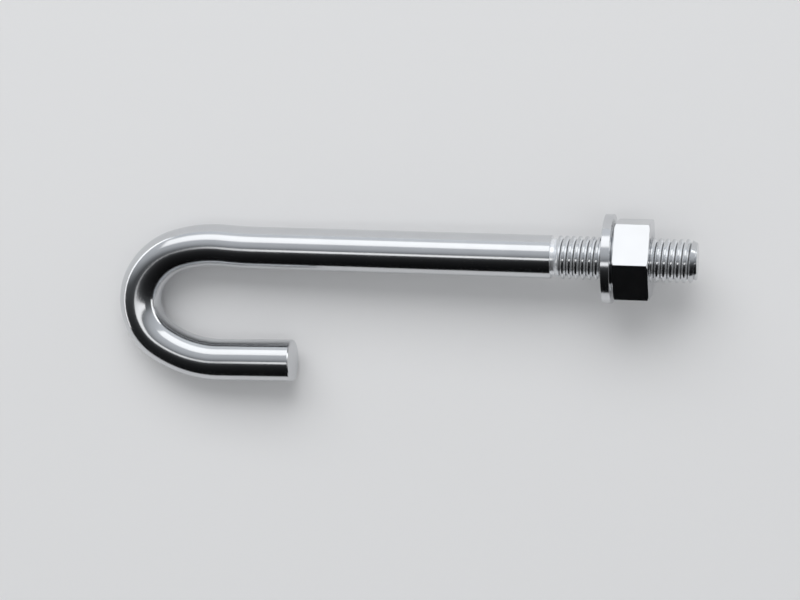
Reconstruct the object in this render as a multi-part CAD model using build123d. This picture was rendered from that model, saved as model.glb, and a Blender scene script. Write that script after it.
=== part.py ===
from build123d import *
from math import radians, sqrt, tan
import os

# J-bolt in M10 size with its flat washer and hex nut, all in millimetres.
# The origin is on the shank's axis at the shoulder where the thread starts. +X runs along the
# axis to the threaded end, the hook bends round toward -Y in the XY plane, and +Z is up.

# Bar and its straight runs
rod_d = 9.8               # drawn bar, and the crests of the thread
plain_len = 69.0          # straight shank behind the shoulder
leg_len = 17.6            # straight leg of the hook, from the last arc to the cut end
cut_edge = 0.2            # burr taken off the cut end, 45 degrees

# The hook's arcs in order from the shank, each as centreline radius and turn in degrees.
# The first leans the bar back a little, and the others close the hook, tightest at the crown.
set_back = (110.0, -4.0)
lead_in = (30.6, 21.9)
shoulder_bend = (14.3, 41.3)
crown_bend = (11.4, 88.3)
lead_out = (25.1, 34.1)

# Thread envelope: the turns lie between the neck at the shoulder and the chamfered end
pitch = 1.5
thread_len = 32.5         # shoulder to end face
root_depth = 0.7          # the neck below the crests
neck_len = 0.55 * pitch   # start of the first turn, cut down to the root
run_in_len = 0.6 * pitch  # cone from the neck up to the full crest
end_chamfer = 0.85        # radial
chamfer_len = 1.5         # along the axis, about 30 degrees

# Flat washer
washer_d = 20.0
washer_t = 2.0
washer_clear = 0.35       # radial, round the crests
washer_edge = 0.12        # broken edge of the rim
washer_x = 11.9           # shoulder to the bearing face

# Hex nut, seated on the washer
nut_af = 17.0             # across flats
hex_t = 7.85              # hexagon alone
collar_t = 0.55           # washer face under the hexagon
collar_inset = 1.2        # radial, in from the flats
nut_clear = 0.05          # radial, round the crests
mouth_chamfer = 0.5       # 45 degrees, at both mouths of the bore
corner_cut = 0.5          # radial bite of the chamfer at the hexagon's corners
corner_angle = 30         # degrees from the end face

rod_r = rod_d / 2


def turned(*profile):
    # A solid of revolution about the X axis, from (x, radius) points.
    return revolve(make_face(Polyline(*profile, close=True)), Axis.X, 360)


def hook_path():
    # Centreline from the shoulder back along the shank and round the hook.
    edges = [Line((0, 0), (-plain_len, 0))]
    for radius, turn in (set_back, lead_in, shoulder_bend, crown_bend, lead_out):
        edges.append(JernArc(edges[-1] @ 1, edges[-1] % 1, radius, turn))
    leg_start = edges[-1] @ 1
    edges.append(Line(leg_start, leg_start + (edges[-1] % 1) * leg_len))
    return Wire(edges)


def hook_bolt():
    path = hook_path()
    bar = sweep(Plane.YZ * Circle(rod_r), path=path)
    cut_rim = bar.edges().filter_by(GeomType.CIRCLE).sort_by_distance(path @ 1)[0]
    bar = chamfer(cut_rim, cut_edge)
    neck_r = rod_r - root_depth
    stud = turned(
        (0, 0), (0, neck_r), (neck_len, neck_r), (neck_len + run_in_len, rod_r),
        (thread_len - chamfer_len, rod_r), (thread_len, rod_r - end_chamfer), (thread_len, 0),
    )
    return bar + stud


def flat_washer():
    bore_r, rim_r = rod_r + washer_clear, washer_d / 2
    x0, x1 = washer_x, washer_x + washer_t
    return turned(
        (x0, bore_r), (x0, rim_r - washer_edge), (x0 + washer_edge, rim_r),
        (x1 - washer_edge, rim_r), (x1, rim_r - washer_edge), (x1, bore_r),
    )


def hex_nut():
    seat = washer_x + washer_t
    hex_x0 = seat + collar_t
    hex_x1 = hex_x0 + hex_t
    # Two corners of the hexagon lie along +Z and -Z, so two flats face +Y and -Y.
    corner_r = nut_af / sqrt(3)
    end_plane = Plane((hex_x0, 0, 0), x_dir=(0, 0, 1), z_dir=(1, 0, 0))
    prism = extrude(end_plane * RegularPolygon(corner_r, 6), hex_t)
    # Coned ends trim the prism's corners.
    face_r = corner_r - corner_cut
    drop = corner_cut * tan(radians(corner_angle))
    cones = turned(
        (hex_x0, 0), (hex_x0, face_r), (hex_x0 + drop, corner_r),
        (hex_x1 - drop, corner_r), (hex_x1, face_r), (hex_x1, 0),
    )
    # The collar runs into the hexagon as far as its own height, so that the two fuse.
    collar_x1 = hex_x0 + collar_t
    collar_r = nut_af / 2 - collar_inset
    collar = turned((seat, 0), (seat, collar_r), (collar_x1, collar_r), (collar_x1, 0))
    bore_r = rod_r + nut_clear
    mouth_r = bore_r + mouth_chamfer
    bore = turned(
        (seat, 0), (seat, mouth_r), (seat + mouth_chamfer, bore_r),
        (hex_x1 - mouth_chamfer, bore_r), (hex_x1, mouth_r), (hex_x1, 0),
    )
    return (prism & cones) + collar - bore


os.makedirs("parts", exist_ok=True)
export_step(hook_bolt(), "parts/hook_bolt.step")
export_step(flat_washer(), "parts/flat_washer.step")
export_step(hex_nut(), "parts/hex_nut.step")
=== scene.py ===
from math import atan2, ceil, cos, hypot, pi, radians, sin, tan

import bpy
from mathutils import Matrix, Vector, kdtree


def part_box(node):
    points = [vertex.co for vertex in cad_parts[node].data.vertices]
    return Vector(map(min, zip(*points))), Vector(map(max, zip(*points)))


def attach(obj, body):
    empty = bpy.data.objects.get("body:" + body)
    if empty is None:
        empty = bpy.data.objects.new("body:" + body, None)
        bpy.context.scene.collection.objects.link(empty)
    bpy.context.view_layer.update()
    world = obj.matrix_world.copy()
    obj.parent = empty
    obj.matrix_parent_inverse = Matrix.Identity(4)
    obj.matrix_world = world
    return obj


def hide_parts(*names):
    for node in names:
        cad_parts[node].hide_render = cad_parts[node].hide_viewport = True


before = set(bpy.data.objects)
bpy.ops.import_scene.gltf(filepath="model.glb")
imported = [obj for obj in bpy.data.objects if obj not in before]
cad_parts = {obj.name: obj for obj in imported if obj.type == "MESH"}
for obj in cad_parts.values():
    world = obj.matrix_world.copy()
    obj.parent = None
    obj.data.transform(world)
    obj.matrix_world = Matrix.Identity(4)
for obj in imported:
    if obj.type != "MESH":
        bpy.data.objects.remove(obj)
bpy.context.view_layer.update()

# J-bolt with its flat washer and hex nut, in metres. The thread is left-hand.
# The shank lies along X with the threaded end at +X, the hook bends toward -Y, and +Z is up.

boltLow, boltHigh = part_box("hook_bolt")
washerLow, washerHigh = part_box("flat_washer")
nutLow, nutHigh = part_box("hex_nut")

alongX = (radians(90), 0, radians(90))  # turns a primitive's own Z to +X and its first corner to +Z
near = 2e-6    # a point this close to a place counts as being there
exact = 1e-7   # for welding and cutting where nothing may move
spare = 0.001  # how far a wound rod runs on past the piece that it is fitted to
digits = 5     # sizes from the frame are rounded to 0.01 mm


def startFresh():
    # Nothing is selected, so an operator acts on the new piece alone.
    if bpy.context.object and bpy.context.object.mode != "OBJECT":
        bpy.ops.object.mode_set(mode="OBJECT")
    bpy.ops.object.select_all(action="DESELECT")


def settle(name):
    # Names the new piece and moves its place into its mesh.
    if bpy.context.object.mode != "OBJECT":
        bpy.ops.object.mode_set(mode="OBJECT")
    bpy.ops.object.transform_apply(location=True, rotation=True, scale=True)
    piece = bpy.context.object
    piece.name = name
    piece.data.name = name
    return piece


def pickOnly(piece):
    startFresh()
    piece.select_set(True)
    bpy.context.view_layer.objects.active = piece


def selectEdges(piece, wanted):
    # Edit mode, with the edges whose two ends pass the test selected.
    bpy.ops.object.mode_set(mode="EDIT")
    bpy.ops.mesh.select_mode(type="EDGE")
    bpy.ops.mesh.select_all(action="DESELECT")
    bpy.ops.object.mode_set(mode="OBJECT")
    points = piece.data.vertices
    for edge in piece.data.edges:
        edge.select = wanted(points[edge.vertices[0]].co, points[edge.vertices[1]].co)
    bpy.ops.object.mode_set(mode="EDIT")


def selectCorners(piece, wanted):
    # Edit mode, with the vertices that pass the test selected.
    bpy.ops.object.mode_set(mode="EDIT")
    bpy.ops.mesh.select_mode(type="VERT")
    bpy.ops.mesh.select_all(action="DESELECT")
    bpy.ops.object.mode_set(mode="OBJECT")
    for point in piece.data.vertices:
        point.select = wanted(point.co)
    bpy.ops.object.mode_set(mode="EDIT")


def tidyShell(mergeAt=exact):
    # Edit mode: welds the seams and turns the faces outwards.
    bpy.ops.mesh.select_mode(type="VERT")
    bpy.ops.mesh.select_all(action="SELECT")
    bpy.ops.mesh.remove_doubles(threshold=mergeAt)
    bpy.ops.mesh.select_all(action="SELECT")
    bpy.ops.mesh.normals_make_consistent(inside=False)


def drawProfile(name, points):
    # A chain of edges above the X axis through (x, radius) points. A plane of any size is merged
    # into the first point, and the rest are extruded from it.
    startFresh()
    bpy.ops.mesh.primitive_plane_add(size=0.001, location=(points[0][0], 0, points[0][1]))
    piece = settle(name)
    bpy.ops.object.mode_set(mode="EDIT")
    bpy.ops.mesh.select_mode(type="VERT")
    bpy.ops.mesh.select_all(action="SELECT")
    bpy.ops.mesh.merge(type="CENTER")
    for here, there in zip(points, points[1:]):
        step = (there[0] - here[0], 0, there[1] - here[1])
        bpy.ops.mesh.extrude_vertices_move(TRANSFORM_OT_translate={"value": step})
    bpy.ops.object.mode_set(mode="OBJECT")
    return piece


def roundCorner(piece, place, size, segments):
    # Rounds the profile's corner that lies at this (x, radius).
    selectCorners(piece, lambda co: hypot(co.x - place[0], co.z - place[1]) < near)
    bpy.ops.mesh.bevel(offset=size, segments=segments, affect="VERTICES")
    bpy.ops.object.mode_set(mode="OBJECT")


def spinRound(piece, sides):
    # Sweeps a profile once round the X axis.
    pickOnly(piece)
    bpy.ops.object.mode_set(mode="EDIT")
    bpy.ops.mesh.select_mode(type="VERT")
    bpy.ops.mesh.select_all(action="SELECT")
    bpy.ops.mesh.spin(steps=sides, angle=2 * pi, center=(0, 0, 0), axis=(1, 0, 0))
    tidyShell(near)
    bpy.ops.object.mode_set(mode="OBJECT")
    return piece


def combine(piece, other, operation):
    # Joins, cuts or trims a piece with another solid, which is then gone.
    pickOnly(piece)
    trim = piece.modifiers.new("trim", "BOOLEAN")
    trim.operation = operation
    trim.solver = "EXACT"
    trim.object = other
    bpy.ops.object.modifier_apply(modifier=trim.name)
    bpy.data.objects.remove(other)


def smoothFaces(piece, angle):
    # Smooth shading up to this angle, with the large flat faces kept flat.
    pickOnly(piece)
    bpy.ops.object.shade_smooth_by_angle(angle=radians(angle))
    weigh = piece.modifiers.new("weigh", "WEIGHTED_NORMAL")
    weigh.keep_sharp = True
    bpy.ops.object.modifier_apply(modifier=weigh.name)


# The stud and the nut share these.
thread = {
    "pitch": 0.0015,
    "hand": -1,             # -1 is left-hand and 1 right-hand
    "depth": 0.00095,       # of the sharp groove, before its root is rounded
    "crestFlat": 0.00048,   # before its corners are rounded
    "crestRound": 0.00010,
    "rootRound": 0.00018,
    "valleyAt": 0.00069,    # first groove on the line above the axis, from the shoulder
    "stepsPerTurn": 80,
    "roundSteps": 3,
}


def threadedRod(name, xStart, xEnd, crest):
    # One groove is drawn from crest to crest, wound along X and squared off at both ends. It starts
    # about two turns early, half a pitch before a groove, so every rod keeps step with valleyAt.
    pitch = thread["pitch"]
    half = thread["crestFlat"] / 2
    root = crest - thread["depth"]
    turns = ceil((xEnd - xStart) / pitch) + 3
    start = thread["valleyAt"] + pitch * (ceil((xStart - thread["valleyAt"]) / pitch) - 2.5)
    corners = [(half, crest), (pitch / 2, root), (pitch - half, crest)]
    outline = [(0, crest)] + corners + [(pitch, crest)]
    rod = drawProfile(name, [(start + x, r) for x, r in outline])
    for place, size in zip(corners, ("crestRound", "rootRound", "crestRound")):
        roundCorner(rod, (start + place[0], place[1]), thread[size], thread["roundSteps"])
    pickOnly(rod)
    wind = rod.modifiers.new("wind", "SCREW")
    wind.axis = "X"
    wind.angle = 2 * pi * thread["hand"]
    wind.screw_offset = pitch
    wind.iterations = turns
    wind.steps = thread["stepsPerTurn"]
    wind.render_steps = thread["stepsPerTurn"]
    bpy.ops.object.modifier_apply(modifier=wind.name)
    bpy.ops.object.mode_set(mode="EDIT")
    tidyShell(near)
    for cutAt, side in ((xStart, -1), (xEnd, 1)):
        bpy.ops.mesh.select_all(action="SELECT")
        bpy.ops.mesh.bisect(plane_co=(cutAt, 0, 0), plane_no=(side, 0, 0), threshold=exact,
                            use_fill=True, clear_outer=True)
    tidyShell()
    bpy.ops.object.mode_set(mode="OBJECT")
    return rod


bar = {
    "radius": round(boltHigh.z, digits),
    "plainLength": 0.0690,
    "legLength": 0.0176,
    # Each arc of the hook as centreline radius and turn in degrees, from the shank on.
    "arcs": [(0.110, -4.0), (0.0306, 21.9), (0.0143, 41.3), (0.0114, 88.3), (0.0251, 34.1)],
    "sides": 96,
    "degreesPerStep": 1.5,
    "ringSpacing": 0.004,   # on the straight runs
    "shoulderEdge": 0.00014,
    "shoulderSteps": 2,
    "cutEdge": 0.0002,
    "smoothAngle": 32,
}


def bendBar():
    # Extruded from a disc at the shoulder and spun round each arc's centre.
    # Returns the bar and the rings on its centreline as (length so far, centre, heading).
    startFresh()
    bpy.ops.mesh.primitive_circle_add(vertices=bar["sides"], radius=bar["radius"], fill_type="NGON",
                                      rotation=alongX)
    piece = settle("hookBolt")
    bpy.ops.object.mode_set(mode="EDIT")
    bpy.ops.mesh.select_mode(type="FACE")
    bpy.ops.mesh.select_all(action="SELECT")
    tip, heading, along = Vector((0, 0, 0)), pi, 0.0
    rings = [(along, tip.copy(), heading)]

    def goStraight(length):
        nonlocal tip, along
        count = ceil(length / bar["ringSpacing"])
        step = Vector((cos(heading), sin(heading), 0)) * length / count
        for _ in range(count):
            bpy.ops.mesh.extrude_region_move(TRANSFORM_OT_translate={"value": step})
            tip = tip + step
            along += length / count
            rings.append((along, tip.copy(), heading))

    def goRound(radius, turn):
        nonlocal tip, heading, along
        side = 1 if turn > 0 else -1
        centre = tip + Vector((-sin(heading), cos(heading), 0)) * radius * side
        count = ceil(abs(turn) / bar["degreesPerStep"])
        bpy.ops.mesh.spin(steps=count, angle=-radians(turn), center=centre, axis=(0, 0, 1))
        for _ in range(count):
            heading += radians(turn) / count
            along += radius * radians(abs(turn)) / count
            tip = centre + Vector((sin(heading), -cos(heading), 0)) * radius * side
            rings.append((along, tip.copy(), heading))

    goStraight(bar["plainLength"])
    for radius, turn in bar["arcs"]:
        goRound(radius, turn)
    goStraight(bar["legLength"])
    bpy.ops.mesh.region_to_loop()
    bpy.ops.mesh.bevel(offset=bar["cutEdge"], segments=1, affect="EDGES")
    bpy.ops.object.mode_set(mode="OBJECT")
    selectEdges(piece, lambda a, b: abs(a.x) < near and abs(b.x) < near)
    bpy.ops.mesh.bevel(offset=bar["shoulderEdge"], segments=bar["shoulderSteps"], affect="EDGES")
    tidyShell()
    bpy.ops.object.mode_set(mode="OBJECT")
    return piece, rings


def markAlongBar(piece, rings):
    # Stores each point as it was before the bar was bent: length along, across and up.
    tree = kdtree.KDTree(len(rings))
    for number, ring in enumerate(rings):
        tree.insert(ring[1], number)
    tree.balance()
    straight = piece.data.attributes.new("straightBar", "FLOAT_VECTOR", "POINT")
    for number, point in enumerate(piece.data.vertices):
        if point.co.x > 0:
            straight.data[number].vector = (-point.co.x, point.co.y, point.co.z)
            continue
        along, centre, heading = rings[tree.find(point.co)[1]]
        offset = point.co - centre
        ahead = Vector((cos(heading), sin(heading), 0))
        across = Vector((sin(heading), -cos(heading), 0))
        straight.data[number].vector = (along + offset.dot(ahead), offset.dot(across), offset.z)


stud = {
    "rootIn": 0.0007,       # the neck below the crests
    "neckEnd": 0.000825,
    "fullFrom": 0.001725,
    "endChamfer": 0.00085,  # radial
    "chamferLength": 0.0015,
    "rootedIn": 0.0004,     # how far it goes into the bar
    "over": 0.00006,        # how far its envelope stands clear of the crests
    "sides": 96,
}


def threadedStud():
    # The wound rod, trimmed by a turned envelope: neck, run-in cone, full crest, chamfer.
    r, end, over = bar["radius"], round(boltHigh.x, digits), stud["over"]
    rod = threadedRod("stud", -2 * stud["rootedIn"], end + spare, r)
    neck = r - stud["rootIn"]
    runIn = over * (stud["fullFrom"] - stud["neckEnd"]) / stud["rootIn"]
    runOut = over * stud["chamferLength"] / stud["endChamfer"]
    envelope = drawProfile("envelope", [
        (-stud["rootedIn"], 0), (-stud["rootedIn"], neck), (stud["neckEnd"], neck),
        (stud["fullFrom"] + runIn, r + over), (end - stud["chamferLength"] - runOut, r + over),
        (end, r - stud["endChamfer"]), (end, 0),
    ])
    spinRound(envelope, stud["sides"])
    combine(rod, envelope, "INTERSECT")
    return rod


hookBolt, barRings = bendBar()
print("bar bent:", len(hookBolt.data.polygons), "faces")
combine(hookBolt, threadedStud(), "UNION")
markAlongBar(hookBolt, barRings)
smoothFaces(hookBolt, bar["smoothAngle"])
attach(hookBolt, "bolt")
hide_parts("hook_bolt")
print("hook bolt threaded:", len(hookBolt.data.polygons), "faces")


washer = {
    "rimRadius": round(washerHigh.z, digits),
    "boreRadius": bar["radius"] + 0.00035,
    "rimRound": 0.00014,
    "boreRound": 0.00008,
    "roundSteps": 3,
    "sides": 144,
    "smoothAngle": 32,
}


def flatWasher():
    # Its section, with rounded corners, swept round the axis.
    x0, x1 = round(washerLow.x, digits), round(washerHigh.x, digits)
    bore, rim = washer["boreRadius"], washer["rimRadius"]
    corners = [(x0, bore), (x0, rim), (x1, rim), (x1, bore)]
    piece = drawProfile("flatWasher", corners)
    selectCorners(piece, lambda co: abs(co.z - bore) < near)
    bpy.ops.mesh.edge_face_add()
    bpy.ops.object.mode_set(mode="OBJECT")
    for place in corners:
        size = washer["rimRound"] if place[1] == rim else washer["boreRound"]
        roundCorner(piece, place, size, washer["roundSteps"])
    return spinRound(piece, washer["sides"])


flatWasherPiece = flatWasher()
smoothFaces(flatWasherPiece, washer["smoothAngle"])
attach(flatWasherPiece, "washer")
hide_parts("flat_washer")
print("washer turned:", len(flatWasherPiece.data.polygons), "faces")


nut = {
    "flats": round(nutHigh.y - nutLow.y, digits),
    "collarHeight": 0.00055,
    "collarInset": 0.0012,
    "cornerCut": 0.0005,
    "cornerAngle": 30,
    "cornerRound": 0.00007,
    "cornerSteps": 3,
    "rimRound": 0.00008,
    "rimSteps": 2,
    "boreClear": 0.00008,   # round the bolt's crests
    "mouthRadius": 0.00545,
    "mouthTip": 0.004,      # radius of the countersink's inner end, less than the tapped bore's
    "over": 0.0002,         # the cutting cones stand this far clear, and the collar runs this far in
    "sides": 144,
    "smoothAngle": 28,
}


def hexNut():
    # Six-sided blank, corners trimmed by coned ends, collar under it, then countersunk and tapped.
    seat, end, over = round(nutLow.x, digits), round(nutHigh.x, digits), nut["over"]
    hexStart = seat + nut["collarHeight"]
    cornerRadius = nut["flats"] / 2 / cos(pi / 6)
    startFresh()
    bpy.ops.mesh.primitive_cylinder_add(vertices=6, radius=cornerRadius, depth=end - hexStart,
                                        location=((hexStart + end) / 2, 0, 0), rotation=alongX)
    piece = settle("hexNut")
    selectEdges(piece, lambda a, b: abs(a.x - b.x) > near)
    bpy.ops.mesh.bevel(offset=nut["cornerRound"], segments=nut["cornerSteps"], affect="EDGES")
    bpy.ops.object.mode_set(mode="OBJECT")
    selectEdges(piece, lambda a, b: abs(a.x - b.x) < near)
    bpy.ops.mesh.bevel(offset=nut["rimRound"], segments=nut["rimSteps"], affect="EDGES")
    bpy.ops.object.mode_set(mode="OBJECT")

    faceRadius = cornerRadius - nut["cornerCut"]
    slope = tan(radians(nut["cornerAngle"]))
    cones = drawProfile("cones", [
        (hexStart - over, 0), (hexStart - over, faceRadius - over / slope),
        (hexStart + (nut["cornerCut"] + over) * slope, cornerRadius + over),
        (end - (nut["cornerCut"] + over) * slope, cornerRadius + over),
        (end + over, faceRadius - over / slope), (end + over, 0),
    ])
    combine(piece, spinRound(cones, nut["sides"]), "INTERSECT")

    collarRadius = nut["flats"] / 2 - nut["collarInset"]
    collar = drawProfile("collar", [(seat, 0), (seat, collarRadius),
                                    (hexStart + over, collarRadius), (hexStart + over, 0)])
    roundCorner(collar, (seat, collarRadius), nut["rimRound"], nut["rimSteps"])
    combine(piece, spinRound(collar, nut["sides"]), "UNION")

    mouth, tip = nut["mouthRadius"], nut["mouthTip"]
    for face, inward in ((seat, 1), (end, -1)):
        outside = face - inward * over
        inside = face + inward * (mouth - tip)
        cone = drawProfile("mouth", [(outside, 0), (outside, mouth + over), (inside, tip), (inside, 0)])
        combine(piece, spinRound(cone, nut["sides"]), "DIFFERENCE")
    tap = threadedRod("tap", seat - spare, end + spare, bar["radius"] + nut["boreClear"])
    combine(piece, tap, "DIFFERENCE")
    return piece


hexNutPiece = hexNut()
smoothFaces(hexNutPiece, nut["smoothAngle"])
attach(hexNutPiece, "nut")
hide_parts("hex_nut")
print("nut tapped:", len(hexNutPiece.data.polygons), "faces")


# All three steels share these.
steel = {
    "tone": (0.685, 0.695, 0.71),
    "lineDetail": 5.0,
    "lineRoughness": 0.6,
    "cloudDetail": 4.0,
    "noiseSpan": (0.3, 0.7),    # most of the noise lies in here
    "reliefHeight": 0.00001,
}


def wire(tree, start, startSocket, end, endSocket):
    tree.links.new(start.outputs[startSocket], end.inputs[endSocket])


def rescale(tree, source, socket, given, wanted):
    # A node that turns one span of a value into another, and holds at its ends.
    scale = tree.nodes.new("ShaderNodeMapRange")
    scale.inputs["From Min"].default_value = given[0]
    scale.inputs["From Max"].default_value = given[1]
    scale.inputs["To Min"].default_value = wanted[0]
    scale.inputs["To Max"].default_value = wanted[1]
    wire(tree, source, socket, scale, "Value")
    return scale


def grooveShare(tree, place, placeSocket, depths, threadFrom):
    # 1 inside the thread, from threadFrom on, and 0 on its crests, its end chamfer and the bar.
    across = tree.nodes.new("ShaderNodeVectorMath")
    across.operation = "MULTIPLY"
    across.inputs[1].default_value = (0, 1, 1)
    wire(tree, place, placeSocket, across, 0)
    depth = tree.nodes.new("ShaderNodeVectorMath")
    depth.operation = "LENGTH"
    wire(tree, across, "Vector", depth, 0)
    inside = rescale(tree, depth, "Value", depths, (1, 0))
    split = tree.nodes.new("ShaderNodeSeparateXYZ")
    wire(tree, place, placeSocket, split, "Vector")
    threadTo = boltHigh.x - stud["chamferLength"]
    # Compare gives 1 where X is within the third value of the second. X is negative on the thread.
    threaded = tree.nodes.new("ShaderNodeMath")
    threaded.operation = "COMPARE"
    threaded.inputs[1].default_value = -(threadFrom + threadTo) / 2
    threaded.inputs[2].default_value = (threadTo - threadFrom) / 2
    wire(tree, split, "X", threaded, 0)
    share = tree.nodes.new("ShaderNodeMath")
    share.operation = "MULTIPLY"
    wire(tree, inside, "Result", share, 0)
    wire(tree, threaded, "Value", share, 1)
    return share


def polishedSteel(name, look):
    # Bright drawn or turned steel: fine lines in its gloss and relief, faint clouding.
    metal = bpy.data.materials.new(name)
    metal.use_nodes = True
    tree = metal.node_tree
    shader = tree.nodes["Principled BSDF"]
    shader.inputs["Metallic"].default_value = 1.0

    if look["follows"] == "bar":
        place = tree.nodes.new("ShaderNodeAttribute")
        place.attribute_name = "straightBar"
        placeSocket = "Vector"
    else:
        place = tree.nodes.new("ShaderNodeTexCoord")
        placeSocket = "Object"

    lineMap = tree.nodes.new("ShaderNodeMapping")
    lineMap.inputs["Scale"].default_value = look["lineScale"]
    wire(tree, place, placeSocket, lineMap, "Vector")
    lines = tree.nodes.new("ShaderNodeTexNoise")
    lines.inputs["Scale"].default_value = 1.0
    lines.inputs["Detail"].default_value = steel["lineDetail"]
    lines.inputs["Roughness"].default_value = steel["lineRoughness"]
    wire(tree, lineMap, "Vector", lines, "Vector")
    clouds = tree.nodes.new("ShaderNodeTexNoise")
    clouds.inputs["Scale"].default_value = look["cloudScale"]
    clouds.inputs["Detail"].default_value = steel["cloudDetail"]
    wire(tree, place, placeSocket, clouds, "Vector")

    mixed = tree.nodes.new("ShaderNodeMix")
    mixed.data_type = "FLOAT"
    mixed.inputs["Factor"].default_value = look["lineShare"]
    wire(tree, clouds, "Fac", mixed, "A")
    wire(tree, lines, "Fac", mixed, "B")
    gloss = rescale(tree, mixed, "Result", steel["noiseSpan"], look["roughness"])
    tone = tree.nodes.new("ShaderNodeValToRGB")
    dark, bright = tone.color_ramp.elements
    dark.position, bright.position = steel["noiseSpan"]
    dark.color = (*[part * look["darkest"] for part in steel["tone"]], 1)
    bright.color = (*steel["tone"], 1)
    wire(tree, clouds, "Fac", tone, "Fac")

    if look["follows"] == "bar":
        # The grooves and the neck are duller than the bar and painted paler, a painted light, and the
        # thread's roots are painted dark, a painted shade.
        flanks = grooveShare(tree, place, placeSocket, look["dullInside"], 0)
        roots = grooveShare(tree, place, placeSocket, look["rootInside"], stud["fullFrom"])
        dull = rescale(tree, flanks, "Value", (0, 1), (0, look["dullRoughness"]))
        rougher = tree.nodes.new("ShaderNodeMath")
        rougher.operation = "MAXIMUM"
        wire(tree, gloss, "Result", rougher, 0)
        wire(tree, dull, "Result", rougher, 1)
        wire(tree, rougher, "Value", shader, "Roughness")

        # Painted light: the grooves and the neck are painted paler.
        paintedLight = rescale(tree, flanks, "Value", (0, 1), (1, look["flankPaintedLight"]))
        # Painted shade: the thread's roots are painted darker.
        shade = rescale(tree, roots, "Value", (0, 1), (1, look["rootPaintedShade"]))
        level = tree.nodes.new("ShaderNodeMath")
        level.operation = "MULTIPLY"
        wire(tree, paintedLight, "Result", level, 0)
        wire(tree, shade, "Result", level, 1)
        shaded = tree.nodes.new("ShaderNodeVectorMath")
        shaded.operation = "SCALE"
        wire(tree, tone, "Color", shaded, 0)
        wire(tree, level, "Value", shaded, "Scale")
        wire(tree, shaded, "Vector", shader, "Base Color")

        bare = rescale(tree, flanks, "Value", (0, 1), (1, look["dullMetal"]))
        wire(tree, bare, "Result", shader, "Metallic")
    else:
        wire(tree, gloss, "Result", shader, "Roughness")
        wire(tree, tone, "Color", shader, "Base Color")

    relief = tree.nodes.new("ShaderNodeBump")
    relief.inputs["Strength"].default_value = look["reliefStrength"]
    relief.inputs["Distance"].default_value = steel["reliefHeight"]
    wire(tree, lines, "Fac", relief, "Height")
    wire(tree, relief, "Normal", shader, "Normal")
    return metal


# Scales are in features a metre. Depths in the thread are given as distances from the axis.
boltLook = {
    "follows": "bar",
    "lineScale": (40, 2500, 2500),
    "cloudScale": 160,
    "lineShare": 0.4,
    "roughness": (0.12, 0.16),
    "darkest": 0.95,
    "reliefStrength": 0.15,
    "dullInside": (0.0046, 0.00488),
    "dullRoughness": 0.22,
    "dullMetal": 0.84,      # less than bare metal, so that the grooves scatter some light
    "flankPaintedLight": 1.38,      # painted light, paler than the bar on the grooves and the neck
    # Painted shade: the thread's roots, between these distances from the axis, are painted darker by the
    # value below.
    "rootInside": (0.00405, 0.00425),
    "rootPaintedShade": 0.20,
}
washerLook = {
    "follows": "piece",
    "lineScale": (3000, 250, 250),
    "cloudScale": 220,
    "lineShare": 0.4,
    "roughness": (0.12, 0.17),
    "darkest": 0.94,
    "reliefStrength": 0.15,
}
nutLook = {
    "follows": "piece",
    "lineScale": (2600, 200, 200),
    "cloudScale": 200,
    "lineShare": 0.35,
    "roughness": (0.12, 0.17),
    "darkest": 0.95,
    "reliefStrength": 0.12,
}

for piece, label, look in ((hookBolt, "drawnBoltSteel", boltLook),
                           (flatWasherPiece, "stampedWasherSteel", washerLook),
                           (hexNutPiece, "machinedNutSteel", nutLook)):
    piece.data.materials.clear()
    piece.data.materials.append(polishedSteel(label, look))
print("finishes on")


floorLook = {
    "size": 6.0,
    "tone": (0.76, 0.765, 0.775),
    "roughness": 0.7,
    "specular": 0.2,
}


def layFloor():
    # It touches the washer's rim and the underside of the hook's crown, so it tilts a little.
    rimFoot = Vector((washerLow.x, 0, washerLow.z))
    crownFoot = Vector((boltLow.x + bar["radius"], 0, boltLow.z))
    tilt = atan2(crownFoot.z - rimFoot.z, rimFoot.x - crownFoot.x)
    startFresh()
    bpy.ops.mesh.primitive_plane_add(size=floorLook["size"], location=rimFoot, rotation=(0, tilt, 0))
    piece = settle("floor")
    paper = bpy.data.materials.new("paleFloorPaper")
    paper.use_nodes = True
    shader = paper.node_tree.nodes["Principled BSDF"]
    shader.inputs["Base Color"].default_value = (*floorLook["tone"], 1)
    shader.inputs["Roughness"].default_value = floorLook["roughness"]
    shader.inputs["Specular IOR Level"].default_value = floorLook["specular"]
    piece.data.materials.append(paper)


layFloor()
print("floor laid")


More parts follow.
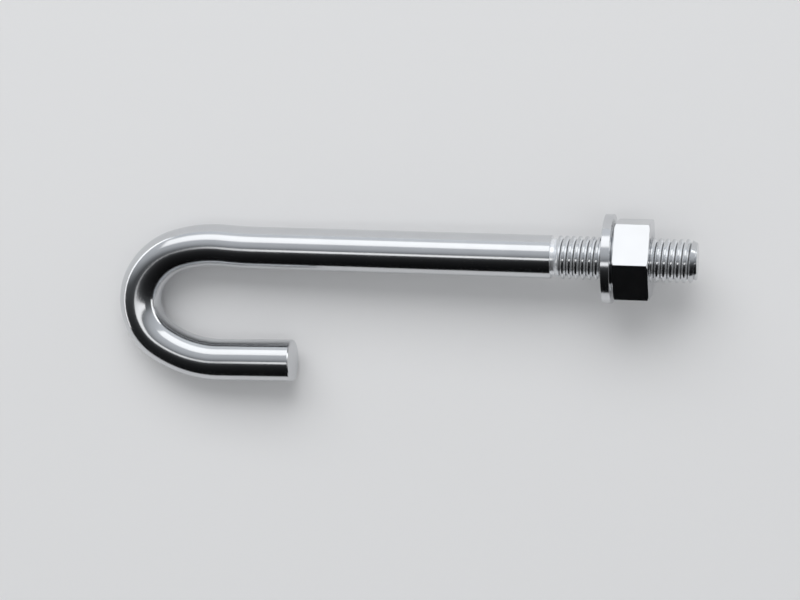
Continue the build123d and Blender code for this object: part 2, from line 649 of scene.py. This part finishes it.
# Angles are from straight above, toward +Y where positive, and start and end lie along X.
studio = {
    "distance": 1.5,
    "key": {"from": 37.5, "to": 68.0, "start": -1.34, "end": 0.56, "radiance": 0.745},
    "keyColour": (1.0, 0.986, 0.965),
    "strip": {"from": -11.0, "to": -1.5, "start": -0.56, "end": 1.2, "radiance": 1.15},
    "right": {"place": (1.2, 0.5, 0.2), "length": 1.8, "height": 0.2, "radiance": 1.5},
    "left": {"place": (-1.3, 0.5, 0.17), "length": 2.2, "height": 0.16, "radiance": 1.5},
    # A second key that no reflection shows, for an even floor and a fuller shadow.
    "soft": {"from": 30.0, "to": 66.0, "start": -1.1, "end": 0.7, "radiance": 0.84, "spread": 90.0},
    "world": 0.45,
    "worldColour": (0.98, 0.99, 1.0),
    # What reflections see of the room beyond the lamps: pairs of an angle toward +Y and a level
    # there, in the middle and at the left. The left takes over between two angles toward +X.
    "dimMiddle": [(-90, 0.004), (-45, 0.010), (-24, 0.022), (-13, 0.06), (0, 0.16),
                  (6, 0.32), (16, 0.50), (37, 0.62), (66, 0.74), (90, 0.80)],
    "dimLeft": [(-90, 0.004), (-45, 0.012), (-24, 0.02), (-12, 0.04), (0, 0.08),
                (6, 0.20), (18, 0.48), (37, 0.62), (66, 0.74), (90, 0.80)],
    "leftFrom": -20.0,
    "leftTo": -34.0,
    "tint": (0.96, 1.0, 1.05),
    "dimRadius": 2.2,
    "dimFoot": -0.3,        # the shell stops at this height, below the floor
    "dimSegments": 96,
    "dimRings": 64,
}


def lampOverhead(name, plan):
    # A long panel above the bolt, tipped to face it.
    middle = radians((plan["from"] + plan["to"]) / 2)
    spread = radians((plan["to"] - plan["from"]) / 2)
    far = studio["distance"]
    place = ((plan["start"] + plan["end"]) / 2, far * sin(middle), far * cos(middle))
    startFresh()
    bpy.ops.object.light_add(type="AREA", location=place, rotation=(-middle, 0, 0))
    lamp = bpy.context.object
    lamp.name = name
    lamp.data.shape = "RECTANGLE"
    lamp.data.size = plan["end"] - plan["start"]
    lamp.data.size_y = 2 * far * tan(spread)
    lamp.data.energy = plan["radiance"] * pi * lamp.data.size * lamp.data.size_y
    return lamp


def lampBeside(name, plan):
    # A low upright panel at one end, long in Y.
    side = 1 if plan["place"][0] > 0 else -1
    startFresh()
    bpy.ops.object.light_add(type="AREA", location=plan["place"], rotation=(0, radians(90 * side), 0))
    lamp = bpy.context.object
    lamp.name = name
    lamp.data.shape = "RECTANGLE"
    lamp.data.size = plan["height"]
    lamp.data.size_y = plan["length"]
    lamp.data.energy = plan["radiance"] * pi * lamp.data.size * lamp.data.size_y


keyPanel = lampOverhead("keyPanel", studio["key"])
keyPanel.data.color = studio["keyColour"]
lampOverhead("stripPanel", studio["strip"])
softPanel = lampOverhead("softPanel", studio["soft"])
softPanel.data.spread = radians(studio["soft"]["spread"])
softPanel.visible_glossy = False
lampBeside("rightPanel", studio["right"])
lampBeside("leftPanel", studio["left"])


def dimRamp(tree, split, levels):
    # The shell's brightness by how far a point on it lies toward +Y.
    share = rescale(tree, split, "Y", (-studio["dimRadius"], studio["dimRadius"]), (0, 1))
    ramp = tree.nodes.new("ShaderNodeValToRGB")
    marks = ramp.color_ramp.elements
    while len(marks) < len(levels):
        marks.new(0.5)      # moved to its own place below
    for mark, (angle, level) in zip(marks, levels):
        mark.position = (sin(radians(angle)) + 1) / 2
        mark.color = (*[level * part for part in studio["tint"]], 1)
    wire(tree, share, "Result", ramp, "Fac")
    return ramp


def hangDimShell():
    # A large shell all round and above, which only reflections see.
    radius = studio["dimRadius"]
    startFresh()
    bpy.ops.mesh.primitive_uv_sphere_add(segments=studio["dimSegments"], ring_count=studio["dimRings"],
                                         radius=radius)
    piece = settle("dimSide")
    bpy.ops.object.mode_set(mode="EDIT")
    bpy.ops.mesh.select_all(action="SELECT")
    bpy.ops.mesh.bisect(plane_co=(0, 0, studio["dimFoot"]), plane_no=(0, 0, -1), clear_outer=True)
    bpy.ops.object.mode_set(mode="OBJECT")
    dim = bpy.data.materials.new("dimStudioSide")
    dim.use_nodes = True
    tree = dim.node_tree
    tree.nodes.clear()
    place = tree.nodes.new("ShaderNodeTexCoord")
    split = tree.nodes.new("ShaderNodeSeparateXYZ")
    wire(tree, place, "Object", split, "Vector")
    edges = (radius * sin(radians(studio["leftFrom"])), radius * sin(radians(studio["leftTo"])))
    leftward = rescale(tree, split, "X", edges, (0, 1))
    blend = tree.nodes.new("ShaderNodeMix")
    blend.data_type = "RGBA"
    wire(tree, leftward, "Result", blend, "Factor")
    # A Mix node's colour sockets share their names with its others, so they go by number.
    colourA, colourB, colourResult = 6, 7, 2
    wire(tree, dimRamp(tree, split, studio["dimMiddle"]), "Color", blend, colourA)
    wire(tree, dimRamp(tree, split, studio["dimLeft"]), "Color", blend, colourB)
    glow = tree.nodes.new("ShaderNodeEmission")
    wire(tree, blend, colourResult, glow, "Color")
    out = tree.nodes.new("ShaderNodeOutputMaterial")
    wire(tree, glow, "Emission", out, "Surface")
    piece.data.materials.append(dim)
    piece.visible_camera = False
    piece.visible_diffuse = False
    piece.visible_shadow = False


hangDimShell()

surroundings = bpy.data.worlds.new("surroundings")
bpy.context.scene.world = surroundings
surroundings.use_nodes = True
sky = surroundings.node_tree.nodes["Background"]
sky.inputs["Color"].default_value = (*studio["worldColour"], 1)
sky.inputs["Strength"].default_value = studio["world"]
print("studio lit")


cameraView = {
    "place": (0.06406, 0.06531, 0.45031),
    "azimuth": 12.413,      # degrees, toward +X
    "elevation": 9.406,     # degrees, toward +Y
    "lens": 91.63,
    "sensor": 36.0,
    "nearest": 0.01,
    "farthest": 50,
}

startFresh()
bpy.ops.object.camera_add(location=cameraView["place"],
                          rotation=(-radians(cameraView["elevation"]), radians(cameraView["azimuth"]), 0))
camera = bpy.context.object
camera.data.lens = cameraView["lens"]
camera.data.sensor_width = cameraView["sensor"]
camera.data.clip_start = cameraView["nearest"]
camera.data.clip_end = cameraView["farthest"]
bpy.context.scene.camera = camera
bpy.context.scene.view_settings.view_transform = "Standard"
print("camera set")
